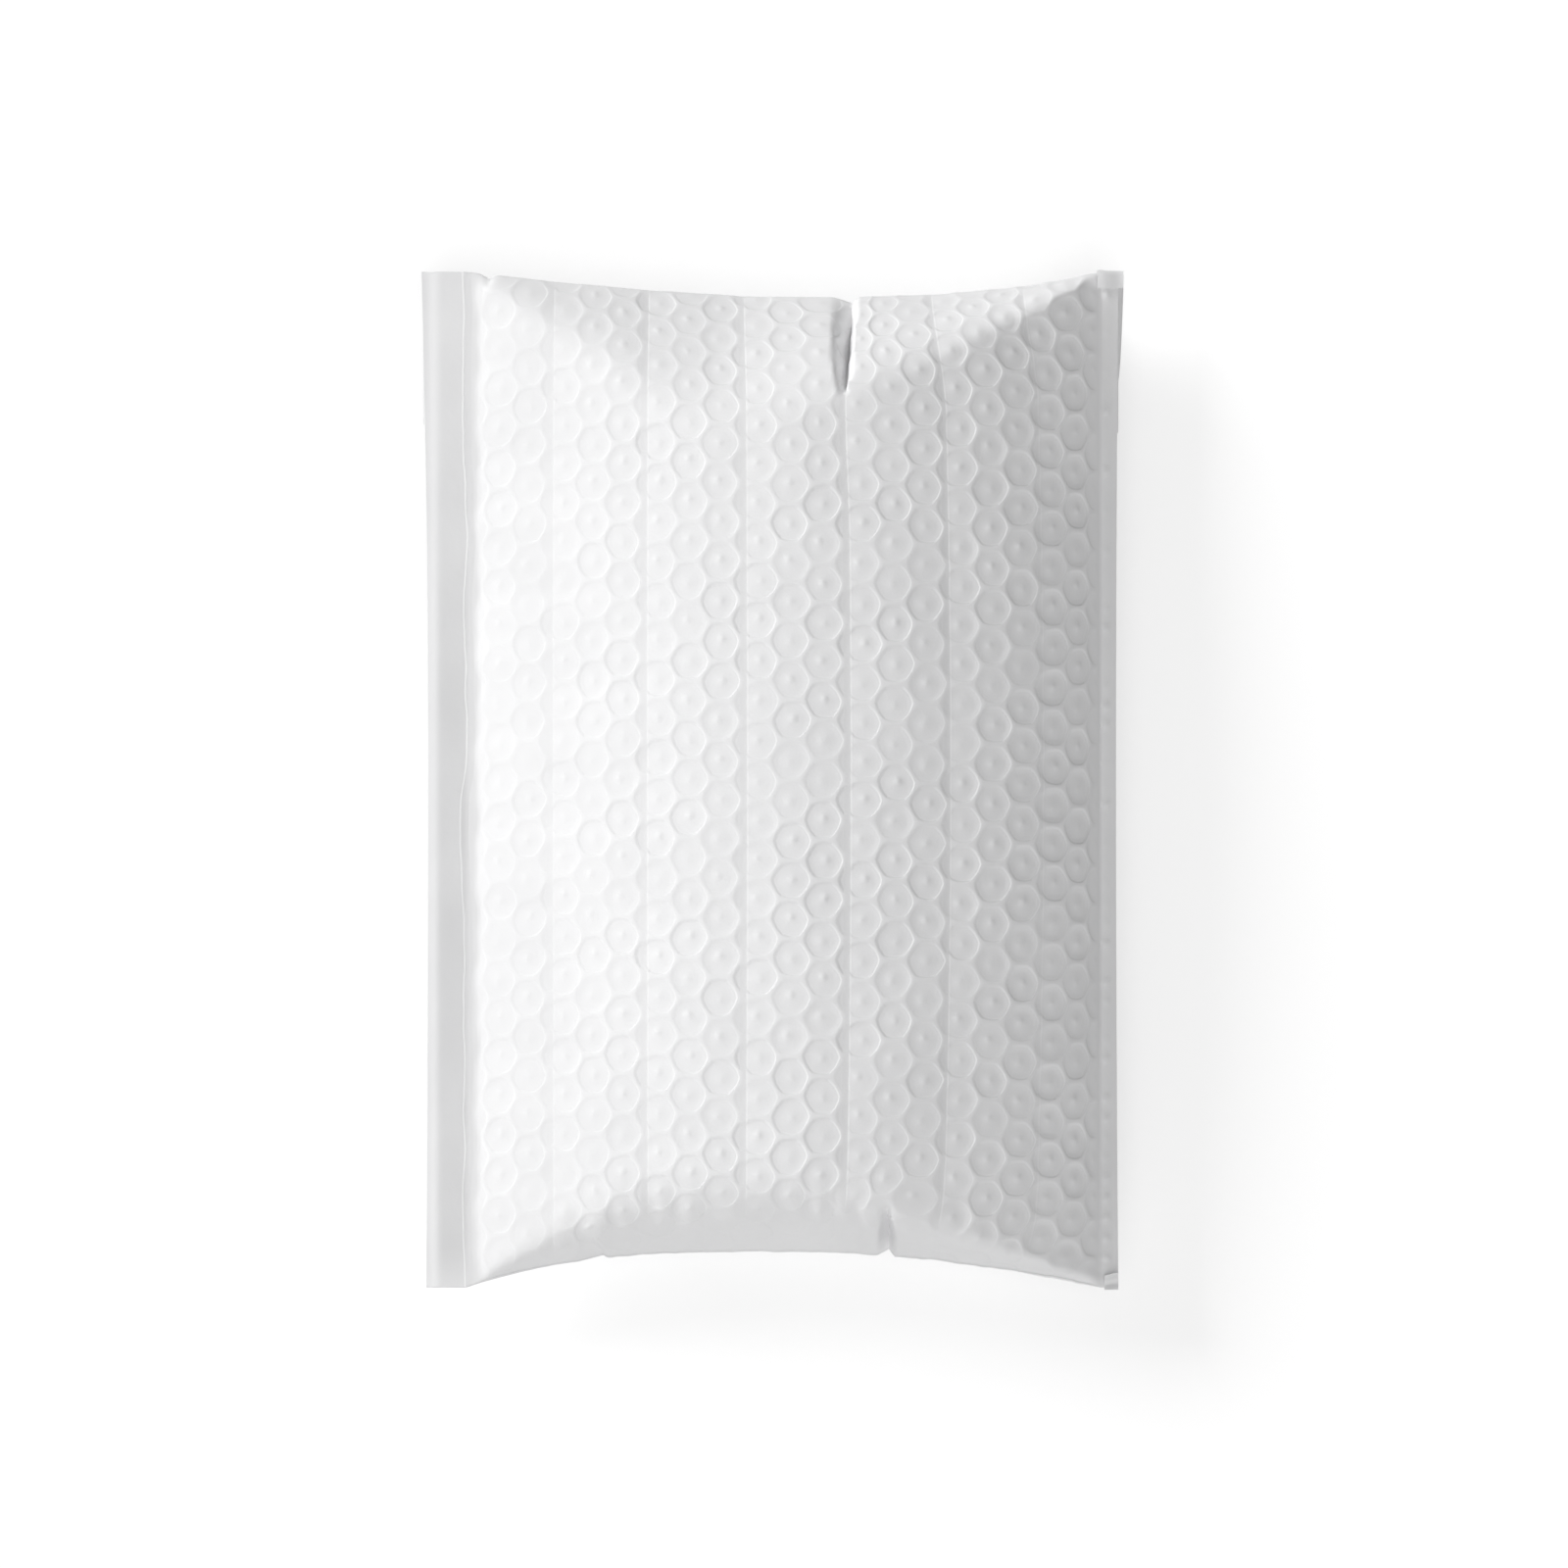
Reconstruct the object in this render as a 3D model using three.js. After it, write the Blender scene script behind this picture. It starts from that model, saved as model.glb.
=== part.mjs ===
// A closed bubble mailer: one white film sheet, bubble-lined, folded at the
// bottom, sealed down both sides, with its flap folded over the top and glued
// to the back. It is puffed up and lies on its back, front upwards, top to +Y.
//
// Millimetres. x runs from the left seal to the right seal, y from the bottom
// corners to the top corners, z up from the plane of the two flat side seals.

import * as THREE from 'three'

// Outline of the flat parts
const POCKET_WIDTH = 183.2
const LEFT_SEAL = 11.3
const RIGHT_SEAL = 5.2
const BAG_LENGTH = 293.7
const SEAL_THICKNESS = 0.8

// The folds at the top and bottom bow inwards because the pocket is puffed. The
// bow powers say how far towards each seal a fold stays close to its deepest place.
const TOP_DIP = 7.4
const TOP_BOW = { left: 1.5, right: 2.9 }
const BOTTOM_DIP = 10.4
const BOTTOM_BOW = { left: 3, right: 1.9 }
const FOLD_RADIUS = 2.2
const FOLD_TAPER = 24

// Puffed pocket: how far its crown stands out, and the lengths of its sloping ends
const FRONT_RISE = 30.5
const BACK_DROP = 28
const SEAL_HEIGHT = 18
const TOP_SLOPE = 43
const BOTTOM_SLOPE = 23
const SHORTEST_SLOPE = 4

// Left of its crown the pocket bends over this length and then falls straight to a
// narrow flat margin. Right of it, it falls slowly and then over a round shoulder,
// which is fullest at mid length.
const LEFT_BEND = 60
const LEFT_MARGIN = 3.2
const RIGHT_FALL = 0.57
const SHOULDER_POWER = 8

// Where the crown and the ends' slopes lie, as shares of the pocket width
const CROWN_PLACE = 0.55
const TOP_RAMP = { left: 0.36, right: 0.545 }
const BOTTOM_RAMP = { left: 0.27, right: 0.37 }

// How much lower the crown is towards the two ends
const FALL_ENDS = 0.26

// Bubble lining: bubbles in staggered upright columns, three columns to a lane.
// The lanes are parted by a fine crease, and the step over it is a wider one.
const BUBBLE_PITCH = 11.35
const COLUMN_PITCH = 9.3
const LANE_PITCH = 29.9
const LANE_PLACE = 0.444
const LANE_CREASE = 0.35
const BUBBLE_RECESS = 1.1

// Spacing of the plain mesh on the back
const BACK_STEP = 9

// Flap on the back, a little askew so that it shows past the right seal
const FLAP_LENGTH = 45
const FLAP_THICKNESS = 0.8
const FLAP_OVERHANG = 1.7
const OVERHANG_LENGTH = 31

// Puckers pressed into the folds. Places are shares of the pocket width, left
// and right are the widths of the two flanks, depth is a share of the height.
const PUCKERS = [
  { end: 'top', at: 0.603, tip: 0.598, length: 28, left: 5.5, right: 4, depth: 0.6, notch: 1.8 },
  { end: 'bottom', at: 0.217, tip: 0.189, length: 9, left: 6, right: 4, depth: 0.5, notch: 1.4 },
  { end: 'bottom', at: 0.666, tip: 0.659, length: 18.5, left: 4, right: 4, depth: 0.6, notch: 1.2 },
]

const FILM_COLOUR = '#f4f4f5'

const { clamp, lerp, degToRad, euclideanModulo } = THREE.MathUtils

// The share of the way up at which the flap on the back ends.
const FLAP_SHARE = 1 - FLAP_LENGTH / (BAG_LENGTH - TOP_DIP - BOTTOM_DIP - 2 * FOLD_RADIUS)

// The smaller of two numbers, with the corner rounded over a width k.
function softMin(a, b, k) {
  const near = Math.max(k - Math.abs(a - b), 0) / k
  return Math.min(a, b) - (near * near * k) / 4
}

// The valley line of a pucker, and how far along it from the fold a place lies.
function puckerValley(pucker, fromEnd) {
  const gone = clamp(fromEnd / pucker.length, 0, 1)
  return { gone, valley: lerp(pucker.at, pucker.tip, gone) * POCKET_WIDTH }
}

// How deep in a pucker a place lies: 1 in its valley at the fold, 0 outside it.
function inPucker(pucker, x, fromEnd) {
  const { gone, valley } = puckerValley(pucker, fromEnd)
  const flank = (x < valley ? pucker.left : pucker.right) * (1 - 0.7 * gone)
  return (1 - gone) ** 0.8 * Math.max(0, 1 - Math.abs(x - valley) / flank)
}

// How far a folded edge bows in: 1 in the middle, 0 at the seals.
function edgeBow(x, bow) {
  const aside = clamp((2 * x) / POCKET_WIDTH - 1, -1, 1)
  return 1 - Math.abs(aside) ** (aside < 0 ? bow.left : bow.right)
}

function topEdge(x) {
  return BAG_LENGTH - TOP_DIP * edgeBow(x, TOP_BOW)
}

function bottomEdge(x) {
  return BOTTOM_DIP * edgeBow(x, BOTTOM_BOW)
}

// Half the thickness of a folded edge: the seal's at the corners, fuller between.
function foldRadius(x) {
  const inside = clamp(Math.min(x, POCKET_WIDTH - x) / FOLD_TAPER, 0, 1)
  return lerp(SEAL_THICKNESS / 2, FOLD_RADIUS, inside)
}

// A bend followed by a straight fall: a parabola up to 1, its tangent beyond.
function bentFall(place) {
  return place < 1 ? place ** 2 / 2 : place - 0.5
}

// Height across the pocket as a share of its full rise: 1 at the crown, 0 at the seals.
// along is 0 at mid length and 1 or -1 at the ends.
function arch(x, along) {
  const crown = CROWN_PLACE * POCKET_WIDTH
  if (x < crown) {
    return Math.max(0, 1 - bentFall((crown - x) / LEFT_BEND) / bentFall((crown - LEFT_MARGIN) / LEFT_BEND))
  }
  const aside = clamp((x - crown) / (POCKET_WIDTH - crown), 0, 1)
  const fall = lerp(RIGHT_FALL, 1, along ** 2)
  return 1 - fall * aside ** 2 - (1 - fall) * aside ** SHOULDER_POWER
}

// The slope at an end: from 0 at the fold up to 1, over a length that shrinks
// towards the two corners.
function endSlope(x, fromEnd, length, ramp, rounding) {
  const fromLeft = clamp(x, 0, POCKET_WIDTH)
  const rampLeft = fromLeft / (ramp.left * POCKET_WIDTH)
  const rampRight = (POCKET_WIDTH - fromLeft) / (ramp.right * POCKET_WIDTH)
  const lengthHere = Math.max(length * softMin(Math.min(rampLeft, rampRight), 1, 0.2), SHORTEST_SLOPE)
  return softMin(fromEnd / lengthHere, 1, rounding)
}

// Height of the puffed pocket as a share of its full rise: arched like a pillow
// from seal to seal, and brought down to the folds by a hipped slope at each end.
function puff(x, fromTop, fromBottom) {
  const along = (fromBottom - fromTop) / BAG_LENGTH
  const lengthwise = 1 - FALL_ENDS * along ** 2
  const top = endSlope(x, fromTop, TOP_SLOPE, TOP_RAMP, 0.22)
  const bottom = endSlope(x, fromBottom, BOTTOM_SLOPE, BOTTOM_RAMP, 0.4)
  return Math.max(0, arch(x, along) * lengthwise * top * bottom)
}

// A place on the front or back sheet, given by x and by the share of the way
// from the bottom fold to the top fold. The back rests flat on the floor.
function sheetPoint(side, x, share) {
  const radius = foldRadius(x)
  const low = bottomEdge(x) + radius
  const high = topEdge(x) - radius
  const fromBottom = (high - low) * share
  const fromTop = (high - low) * (1 - share)
  let y = low + fromBottom
  let creased = 1
  for (const pucker of PUCKERS) {
    const atTop = pucker.end === 'top'
    const deep = inPucker(pucker, x, atTop ? fromTop : fromBottom)
    y += atTop ? -pucker.notch * deep : pucker.notch * deep
    creased *= 1 - pucker.depth * deep
  }
  const shape = puff(x, fromTop, fromBottom) * creased
  if (side === 'front') {
    return { x, y, height: radius + FRONT_RISE * shape, fromTop, fromBottom }
  }
  const flap = share > FLAP_SHARE ? FLAP_THICKNESS * clamp(fromTop / 10, 0, 1) : 0
  const height = Math.min(radius + BACK_DROP * shape + flap, SEAL_HEIGHT)
  return { x, y, height, fromTop, fromBottom }
}

// Turns distance measured along a curved line into the parameter that gives it.
function measuredAlong(pointAt, from, to) {
  const steps = 600
  const lengths = [0]
  let before = pointAt(from)
  for (let i = 1; i <= steps; i += 1) {
    const here = pointAt(lerp(from, to, i / steps))
    const gone = Math.hypot(here.x - before.x, here.y - before.y, here.height - before.height)
    lengths.push(lengths[i - 1] + gone)
    before = here
  }
  const parameterAt = (distance) => {
    const next = clamp(lengths.findIndex((length) => length >= distance), 1, steps)
    const share = (distance - lengths[next - 1]) / (lengths[next] - lengths[next - 1])
    return lerp(from, to, (next - 1 + share) / steps)
  }
  return { total: lengths[steps], parameterAt, lengthAt: (share) => lengths[Math.round(share * steps)] }
}

// Places 0, 1, -1, ... along a line, put in order, that lie well inside its total length.
function placesWithin(total, step, distanceAt) {
  const most = Math.ceil(total / step)
  return Array.from({ length: 2 * most + 1 }, (_, i) => ({ index: i - most, distance: distanceAt(i - most) }))
    .filter(({ distance }) => distance > 0.4 * step && distance < total - 0.4 * step)
}

// Evenly spaced places, one of them at the given distance.
function stepsWithin(total, first, step) {
  return placesWithin(total, step, (index) => first + index * step)
}

// How far a mesh column lies from the first bubble column of its lane, when there
// are three mesh columns to each bubble column and nine to a lane.
function columnOffset(index) {
  const inLane = euclideanModulo(index, 9)
  const overCrease = Math.max(inLane - 6, 0) * (LANE_PITCH / 3 - COLUMN_PITCH)
  return Math.floor(index / 9) * LANE_PITCH + (inLane * COLUMN_PITCH) / 3 + overCrease
}

// Columns of the front sheet, a third of the way between neighbouring bubbles.
// Every third column runs through bubble centres; in the others the place
// where three bubbles meet is left out, so that each bubble is one ring of six.
// The last column of each lane runs along its crease.
function bubbleColumns(across, along) {
  const first = across.lengthAt(LANE_PLACE) + LANE_PITCH - columnOffset(8)
  return placesWithin(across.total, COLUMN_PITCH / 3, (index) => first + columnOffset(index)).map((column) => {
    const odd = euclideanModulo(column.index, 2)
    const throughCentres = euclideanModulo(column.index, 3) === 0
    const middle = along.total / 2 + (odd * BUBBLE_PITCH) / 6
    const rows = stepsWithin(along.total, middle, BUBBLE_PITCH / 3)
      .map((row) => ({
        share: along.parameterAt(row.distance),
        special: euclideanModulo(row.index - odd, 3) === 0,
      }))
      .filter((row) => throughCentres || !row.special)
      .map((row) => ({ share: row.share, centre: row.special }))
    const creased = euclideanModulo(column.index, 9) === 8
    return { x: across.parameterAt(column.distance), rows, creased }
  })
}

// Columns of the back sheet: an even mesh with a close pair of rows at the flap's edge.
function plainColumns(across, along) {
  const flapRows = [{ share: FLAP_SHARE - 0.0006 }, { share: FLAP_SHARE + 0.0006 }]
  const rows = stepsWithin(along.total, along.total / 2, BACK_STEP)
    .map((row) => ({ share: along.parameterAt(row.distance) }))
    .filter((row) => Math.abs(row.share - FLAP_SHARE) > 0.01)
    .concat(flapRows)
    .sort((a, b) => a.share - b.share)
  return stepsWithin(across.total, across.total / 2, BACK_STEP)
    .map((column) => ({ x: across.parameterAt(column.distance), rows }))
}

const vertices = []
const triangles = []
const sharesUp = []

function addVertex(x, y, z, share) {
  vertices.push(x, y, z)
  sharesUp.push(share)
  return sharesUp.length - 1
}

// Three ways to tell how far along its line a vertex is.
const acrossBag = (index) => vertices[3 * index]
const upBag = (index) => vertices[3 * index + 1]
const upSheet = (index) => sharesUp[index]

// Fills the band between two lines of vertices, both sorted by their place.
// The triangles face the viewer who sees the second line to the left of the first.
function stitch(first, second, place) {
  let a = 0
  let b = 0
  while (a < first.length - 1 || b < second.length - 1) {
    const moreFirst = a < first.length - 1
    const moreSecond = b < second.length - 1
    const takeFirst = moreFirst && (!moreSecond || place(first[a + 1]) <= place(second[b + 1]))
    const corners = takeFirst ? [first[a], first[a + 1], second[b]] : [first[a], second[b + 1], second[b]]
    if (new Set(corners).size === 3) triangles.push(...corners)
    if (takeFirst) a += 1
    else b += 1
  }
}

// How far the flap stands out past the right seal.
function overhang(fromTop) {
  return FLAP_OVERHANG * clamp(1 - fromTop / OVERHANG_LENGTH, 0, 1)
}

// A column that passes close by a pucker's valley runs along the valley there.
function drawnToValley(x, point, reach) {
  for (const pucker of PUCKERS) {
    const fromEnd = pucker.end === 'top' ? point.fromTop : point.fromBottom
    const { gone, valley } = puckerValley(pucker, fromEnd)
    if (gone < 1 && Math.abs(x - valley) < reach) return valley
  }
  return x
}

// One sheet with its two seal strips, as columns of vertices from left to right.
// Each bubble is pressed in a little, fading out towards the borders.
function buildSheet(side) {
  const across = measuredAlong((x) => sheetPoint(side, x, 0.5), 0, POCKET_WIDTH)
  const along = measuredAlong((share) => sheetPoint(side, CROWN_PLACE * POCKET_WIDTH, share), 0, 1)
  const isFront = side === 'front'
  const inner = isFront ? bubbleColumns(across, along) : plainColumns(across, along)
  const reach = isFront ? BUBBLE_PITCH / 7 : BACK_STEP * 0.45
  const outer = POCKET_WIDTH + RIGHT_SEAL
  const sealRows = plainColumns(across, along)[0].rows
  const seal = (x) => ({ x, rows: sealRows })
  const columns = [seal(-LEFT_SEAL), seal(0), ...inner, seal(POCKET_WIDTH), seal(outer)]

  return columns.map(({ x, rows, creased }) => [{ share: 0 }, ...rows, { share: 1 }].map(({ share, centre }) => {
    const drawn = drawnToValley(x, sheetPoint(side, x, share), reach)
    const point = sheetPoint(side, drawn, share)
    const border = Math.min(x, POCKET_WIDTH - x, point.fromTop, point.fromBottom)
    const pressed = (centre ? BUBBLE_RECESS : 0) + (creased ? LANE_CREASE : 0)
    const relief = pressed * clamp((border - 3) / 5, 0, 1)
    const height = isFront ? point.height - relief : -point.height
    const showsFlap = x === outer && (!isFront || share === 1)
    return addVertex(showsFlap ? x + overhang(point.fromTop) : drawn, point.y, height, share)
  }))
}

// The rounded rows of a fold, over the ends of the front sheet's columns.
function buildFold(end, frontRow) {
  return [45, 0, -45].map((turn) => frontRow.map((index) => {
    const x = acrossBag(index)
    const radius = foldRadius(x)
    const out = radius * Math.cos(degToRad(turn))
    const y = upBag(index) + (end === 'top' ? out : -out)
    return addVertex(x, y, radius * Math.sin(degToRad(turn)), sharesUp[index])
  }))
}

const front = buildSheet('front')
const back = buildSheet('back')
for (let i = 1; i < front.length; i += 1) stitch(front[i], front[i - 1], upSheet)
for (let i = 1; i < back.length; i += 1) stitch(back[i - 1], back[i], upSheet)

// Over the top and bottom edges, from the front sheet to the back sheet
const firstOf = (column) => column[0]
const lastOf = (column) => column.at(-1)
const topFold = buildFold('top', front.map(lastOf))
const bottomFold = buildFold('bottom', front.map(firstOf))
const overTop = [front.map(lastOf), ...topFold, back.map(lastOf)]
const underBottom = [front.map(firstOf), ...bottomFold, back.map(firstOf)]
for (let i = 1; i < overTop.length; i += 1) stitch(overTop[i - 1], overTop[i], acrossBag)
for (let i = 1; i < underBottom.length; i += 1) stitch(underBottom[i], underBottom[i - 1], acrossBag)

// The two long side edges, closed between the front and the back of each seal
function sideEdges(endOf) {
  const [topFront, topMiddle, topBack] = topFold.map(endOf)
  const [bottomFront, bottomMiddle, bottomBack] = bottomFold.map(endOf)
  return {
    frontEdge: [bottomMiddle, bottomFront, ...endOf(front), topFront, topMiddle],
    backEdge: [bottomMiddle, bottomBack, ...endOf(back), topBack, topMiddle],
  }
}
const leftSide = sideEdges(firstOf)
const rightSide = sideEdges(lastOf)
stitch(leftSide.frontEdge, leftSide.backEdge, upBag)
stitch(rightSide.backEdge, rightSide.frontEdge, upBag)

const geometry = new THREE.BufferGeometry()
geometry.setAttribute('position', new THREE.Float32BufferAttribute(vertices, 3))
geometry.setIndex(triangles)
geometry.computeBoundingBox()
const middle = geometry.boundingBox.getCenter(new THREE.Vector3())
geometry.translate(-middle.x, -middle.y, -geometry.boundingBox.min.z)
geometry.computeVertexNormals()

const film = new THREE.MeshStandardMaterial({ color: FILM_COLOUR, roughness: 0.45, metalness: 0 })
film.name = 'white_film'

const bag = new THREE.Mesh(geometry, film)
bag.name = 'bubble_bag'

const part = new THREE.Group()
part.name = 'part'
part.add(bag)

export default part
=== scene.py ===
import bpy
import numpy as np
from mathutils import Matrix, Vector


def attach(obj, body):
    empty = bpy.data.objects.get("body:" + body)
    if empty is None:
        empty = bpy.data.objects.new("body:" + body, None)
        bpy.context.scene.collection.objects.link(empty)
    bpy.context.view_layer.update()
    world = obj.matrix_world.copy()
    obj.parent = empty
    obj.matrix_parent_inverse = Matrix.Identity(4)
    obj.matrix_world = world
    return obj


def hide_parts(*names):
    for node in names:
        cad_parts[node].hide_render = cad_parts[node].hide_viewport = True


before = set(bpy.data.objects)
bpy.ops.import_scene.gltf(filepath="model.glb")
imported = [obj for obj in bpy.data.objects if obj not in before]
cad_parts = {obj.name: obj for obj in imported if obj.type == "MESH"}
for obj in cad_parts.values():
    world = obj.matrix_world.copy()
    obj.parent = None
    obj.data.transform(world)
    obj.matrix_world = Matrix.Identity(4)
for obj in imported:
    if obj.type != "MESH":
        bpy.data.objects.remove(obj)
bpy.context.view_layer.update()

# The film pocket
# One sheet of white polyethylene film, lined with bubble film and folded over at the bottom.
# Both long sides are heat-sealed into flat strips, and the air inside puffs the pocket into a pillow.
# All sizes are millimetres, x from the left seal line, y from the bottom corners, z from the seals.

POCKET_WIDTH = 183.2
BAG_LENGTH = 293.7
SEAL_THICKNESS = 0.8
SEAL_HEIGHT = 18

# The middle of the underside of the finished bag's box, which is the shared frame's origin
FRAME_ORIGIN = np.array([89.4, 146.85, -SEAL_HEIGHT])

# How far the front and the back puff out, and how they fall from the crown: over a bend and then
# straight on the left, slowly and then over a round shoulder on the right, and a little to both ends
FRONT_RISE = 30.5
BACK_DROP = 28
BACK_ROUNDING = 2.5
CROWN = 100.8
LEFT_BEND = 60
LEFT_MARGIN = 3.2
RIGHT_FALL = 0.66
SHOULDER_POWER = 10
FALL_ENDS = 0.28

# The folded edges bow inwards between the corners. FOLD_OPENING is how steeply, in degrees, the front
# and the back leave the round of the fold.
TOP_DIP = 7.4
TOP_BOW_LEFT = 1.5
TOP_BOW_RIGHT = 2.9
BOTTOM_DIP = 10.4
BOTTOM_BOW_LEFT = 3.0
BOTTOM_BOW_RIGHT = 1.9
FOLD_RADIUS = 2.2
FOLD_TAPER = 24
FOLD_OPENING = 48

# The hipped slope at each end: its length, the distances from the two seals over which it grows to
# that length, and the power that makes it steepest at the fold
TOP_SLOPE = 43
TOP_RAMP_LEFT = 66
TOP_RAMP_RIGHT = 100
TOP_POWER = 2.0
BOTTOM_SLOPE = 30
BOTTOM_RAMP_LEFT = 52
BOTTOM_RAMP_RIGHT = 95
BOTTOM_POWER = 2.9
RAMP_ROUNDING = 0.2
SHORTEST_SLOPE = 4

# Under the flap the back lies higher by the flap's thickness and a gap, over a short step.
FLAP_LENGTH = 45
FLAP_THICKNESS = 0.6
FLAP_GAP = 0.1
FLAP_STEP = 6

# Puckers where the film gathers into a fold: place at the fold and at the tip, length, the widths
# of the left and right flanks, depth as a share of the height there, the nick in the fold, and the
# place at mid length of the strip of film that is gathered into the valley.
PUCKERS = [
    dict(end="top", at=111.6, tip=109.3, length=28.5,
         left=5.6, right=1.7, depth=0.84, nick=1.8, gathers=111.0),
    dict(end="top", at=6.5, tip=5.5, length=4,
         left=3.0, right=2.0, depth=0.5, nick=1.2, gathers=6.3),
    dict(end="bottom", at=39.6, tip=36.4, length=6,
         left=6.5, right=1.4, depth=0.42, nick=1.0, gathers=39.1),
    dict(end="bottom", at=122.2, tip=121.6, length=14,
         left=3.6, right=1.4, depth=0.86, nick=2.0, gathers=126.8),
]

# Towards the tip the flanks narrow by a share, and the depth fades by a power of the way left.
PUCKER_NARROWING = 0.6
PUCKER_FADE = 0.7

# The inner border of the left seal wavers: two waves along the bag.
MARGIN_WAVES = [
    dict(height=0.45, length=5.3, shift=0.8),
    dict(height=0.3, length=2.1, shift=0),
]


def soft_min(a, b, k):
    """The smaller of two values, with the corner between them rounded over a width k."""
    near = np.maximum(k - np.abs(a - b), 0) / k
    return np.minimum(a, b) - near * near * k / 4


def smooth_step(low, high, value):
    """0 below low, 1 above high, and the cubic 3t^2 - 2t^3 between them."""
    t = np.clip((value - low) / (high - low), 0, 1)
    return t * t * (3 - 2 * t)


def summed_waves(place, waves):
    """Sine waves along a line added up, each with its height, its length for a radian and its shift."""
    return sum(wave["height"] * np.sin(place / wave["length"] + wave["shift"]) for wave in waves)


def edge_dip(x, left_power, right_power):
    """How far a folded edge bows in: one minus a power of the offset from the middle."""
    offset = np.clip(2 * x / POCKET_WIDTH - 1, -1, 1)
    return 1 - np.abs(offset) ** np.where(offset < 0, left_power, right_power)


def near_seal(x):
    """0 at a seal line and beyond it, rising straight to 1 at FOLD_TAPER inside the pocket."""
    return np.clip(np.minimum(x, POCKET_WIDTH - x) / FOLD_TAPER, 0, 1)


def fold_radius(x):
    """Half the thickness of a folded edge: the seal's at the corners, fuller between them."""
    return SEAL_THICKNESS / 2 + (FOLD_RADIUS - SEAL_THICKNESS / 2) * near_seal(x)


def fold_start(x):
    """Angle above the seal plane at which a sheet runs into the round of the fold."""
    return np.radians(90 - FOLD_OPENING * near_seal(x))


def bent_fall(place):
    """A bend followed by a straight fall: a parabola up to 1, and its tangent beyond."""
    return np.where(place < 1, place ** 2 / 2, place - 0.5)


def arch(x, y, along):
    """Height across the pocket as a share of its rise, 1 at the crown and 0 at the seals.

    Left of the crown it is a bent fall to the seal's margin. Right of it, it is one minus a share
    of the offset squared and a share of its high power, a slow fall and then a round shoulder.
    """
    margin = LEFT_MARGIN + summed_waves(y, MARGIN_WAVES)
    left = 1 - bent_fall((CROWN - x) / LEFT_BEND) / bent_fall((CROWN - margin) / LEFT_BEND)
    aside = np.clip((x - CROWN) / (POCKET_WIDTH - CROWN), 0, 1)
    fall = RIGHT_FALL + (1 - RIGHT_FALL) * along ** 2
    right = 1 - fall * aside ** 2 - (1 - fall) * aside ** SHOULDER_POWER
    return np.maximum(np.where(x < CROWN, left, right), 0)


def end_slope(x, from_end, length, ramp_left, ramp_right, power):
    """Slope at a folded end, from 0 at the fold to 1 at the end of a length that shrinks to the corners.

    It is one minus a power of the share of that length still to go, so it is steepest at the fold.
    """
    inside = np.clip(x, 0, POCKET_WIDTH)
    ramp = np.minimum(inside / ramp_left, (POCKET_WIDTH - inside) / ramp_right)
    length_here = np.maximum(length * soft_min(ramp, 1, RAMP_ROUNDING), SHORTEST_SLOPE)
    return 1 - (1 - np.clip(from_end / length_here, 0, 1)) ** power


def pocket_rise(x, y, from_top, from_bottom):
    """Height of the puffed pocket as a share of its rise: the arch across, lowered towards the two
    ends by the square of the place along, and brought down to each fold by a hipped slope."""
    along = (from_bottom - from_top) / BAG_LENGTH
    top = end_slope(x, from_top, TOP_SLOPE, TOP_RAMP_LEFT, TOP_RAMP_RIGHT, TOP_POWER)
    bottom = end_slope(x, from_bottom, BOTTOM_SLOPE, BOTTOM_RAMP_LEFT, BOTTOM_RAMP_RIGHT, BOTTOM_POWER)
    return arch(x, y, along) * (1 - FALL_ENDS * along ** 2) * top * bottom


def pucker_valley(pucker, from_top, from_bottom):
    """The distance from a pucker's fold, the share of its length gone there, and its valley's place,
    which runs straight from the fold to the tip."""
    from_end = from_top if pucker["end"] == "top" else from_bottom
    gone = np.clip(from_end / pucker["length"], 0, 1)
    return from_end, gone, pucker["at"] + (pucker["tip"] - pucker["at"]) * gone


def film_sheet(x, share):
    """A bare sheet of the pocket at x and at a share of the way from the bottom to the top fold.

    Returns y, the height of the front above the seal plane, the depth of the back below it, and
    the distances from the top and bottom folds. Each pucker lowers the sheet along a V that is
    deepest at the fold and fades to its tip.
    """
    radius = fold_radius(x)
    start = fold_start(x)
    bottom_bow = BOTTOM_DIP * edge_dip(x, BOTTOM_BOW_LEFT, BOTTOM_BOW_RIGHT)
    top_bow = TOP_DIP * edge_dip(x, TOP_BOW_LEFT, TOP_BOW_RIGHT)
    low = bottom_bow + radius - radius * np.cos(start)
    high = BAG_LENGTH - top_bow - radius + radius * np.cos(start)
    from_bottom = (high - low) * share
    from_top = (high - low) * (1 - share)
    y = low + from_bottom
    rise = pocket_rise(x, y, from_top, from_bottom)
    for pucker in PUCKERS:
        _, gone, valley = pucker_valley(pucker, from_top, from_bottom)
        flank = np.where(x < valley, pucker["left"], pucker["right"]) * (1 - PUCKER_NARROWING * gone ** 2)
        deep = (1 - gone) ** PUCKER_FADE * np.maximum(0, 1 - np.abs(x - valley) / flank)
        y = y - pucker["nick"] * deep * (1 if pucker["end"] == "top" else -1)
        rise = rise * (1 - pucker["depth"] * deep)
    edge = radius * np.sin(start)
    front = edge + FRONT_RISE * rise
    under_flap = 1 - smooth_step(FLAP_LENGTH, FLAP_LENGTH + FLAP_STEP, from_top)
    flat_back = SEAL_HEIGHT - (FLAP_THICKNESS + FLAP_GAP) * under_flap
    back = soft_min(edge + BACK_DROP * rise, flat_back, BACK_ROUNDING)
    return y, front, back, from_top, from_bottom


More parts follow.
